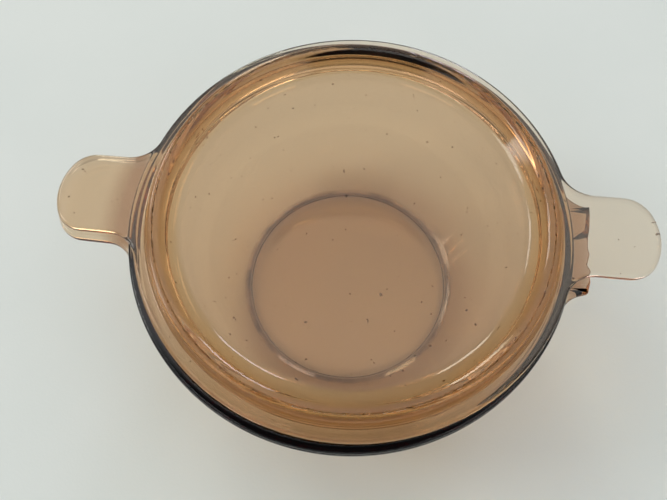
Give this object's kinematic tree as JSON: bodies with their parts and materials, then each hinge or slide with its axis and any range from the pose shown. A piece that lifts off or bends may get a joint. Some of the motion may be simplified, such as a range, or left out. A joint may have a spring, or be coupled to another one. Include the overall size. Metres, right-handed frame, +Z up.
{
  "type": "lidded glass casserole",
  "caption": "Round casserole dish of amber-brown pressed glass with a loose lid that lifts off. Both have finger tabs; one tab of the dish is broken off.",
  "frame": {"origin": "middle of the dish's foot, on the surface it stands on", "axes": "+Z up; the dish's two finger tabs lie along X, with the broken one at +X"},
  "size_m": [0.2924, 0.2145, 0.1034],
  "materials": {
    "dish_glass": "clear amber-brown pressed glass, polished by the mould, fine wear scratches",
    "lid_glass": "clear amber-brown pressed glass, polished by the mould, fine wear scratches"
  },
  "bodies": {
    "dish": {"dish": "dish_glass"},
    "lid": {"lid": "lid_glass"}
  },
  "joints": [
    {"name": "lid_lift", "type": "slide", "parent": "dish", "child": "lid", "axis": [0, 0, 1], "range_m": [0, 0.12]}
  ]
}
